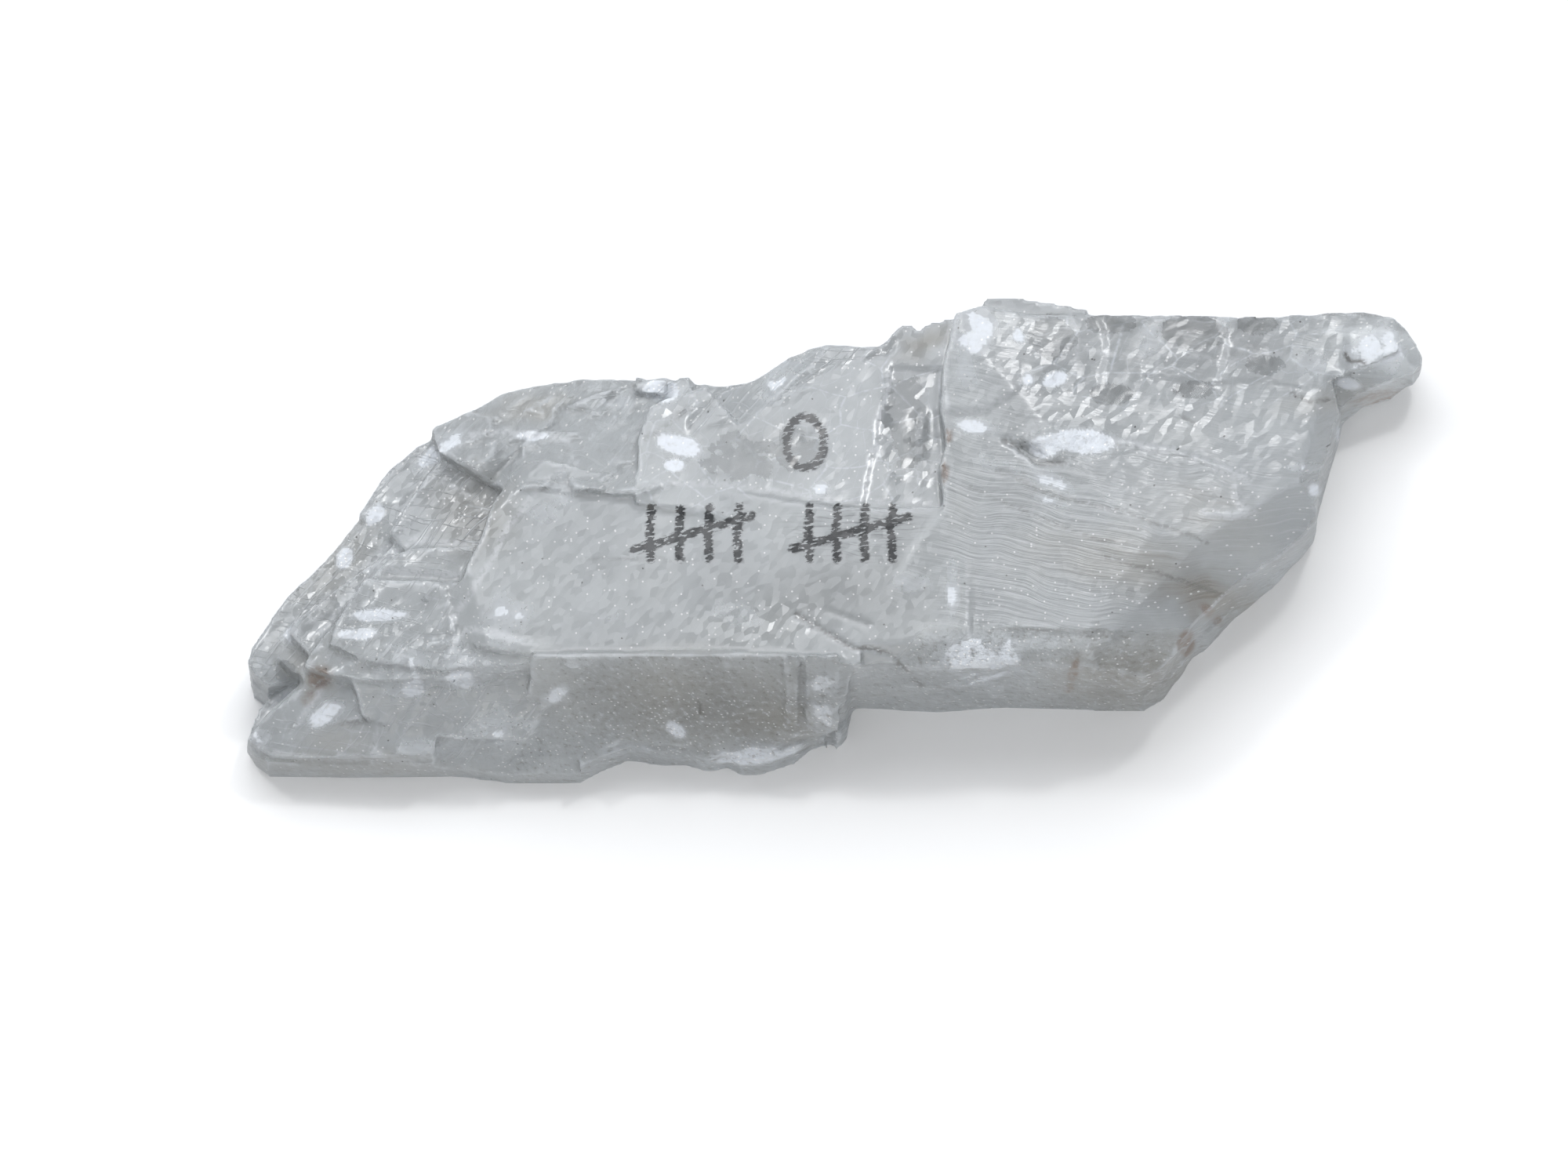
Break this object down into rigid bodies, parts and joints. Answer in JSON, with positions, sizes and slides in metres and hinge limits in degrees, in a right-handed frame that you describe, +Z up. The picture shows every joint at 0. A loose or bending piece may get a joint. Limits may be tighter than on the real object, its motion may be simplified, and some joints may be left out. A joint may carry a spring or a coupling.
{
  "type": "selenite crystal",
  "caption": "Cloudy selenite crystal: a long cleaved slab with stepped plates, a broken thick front and a narrow end, lying flat.",
  "frame": {"origin": "middle of the flat underside, under the centre of the crystal's box", "axes": "+X along the long side towards the narrow end, +Y away from the thick broken front, +Z up"},
  "size_m": [0.1802, 0.0712, 0.0265],
  "materials": {
    "crystal": "silky translucent cleavage faces with frosted breaks"
  },
  "bodies": {
    "root": {"crystal": "crystal"}
  },
  "joints": []
}
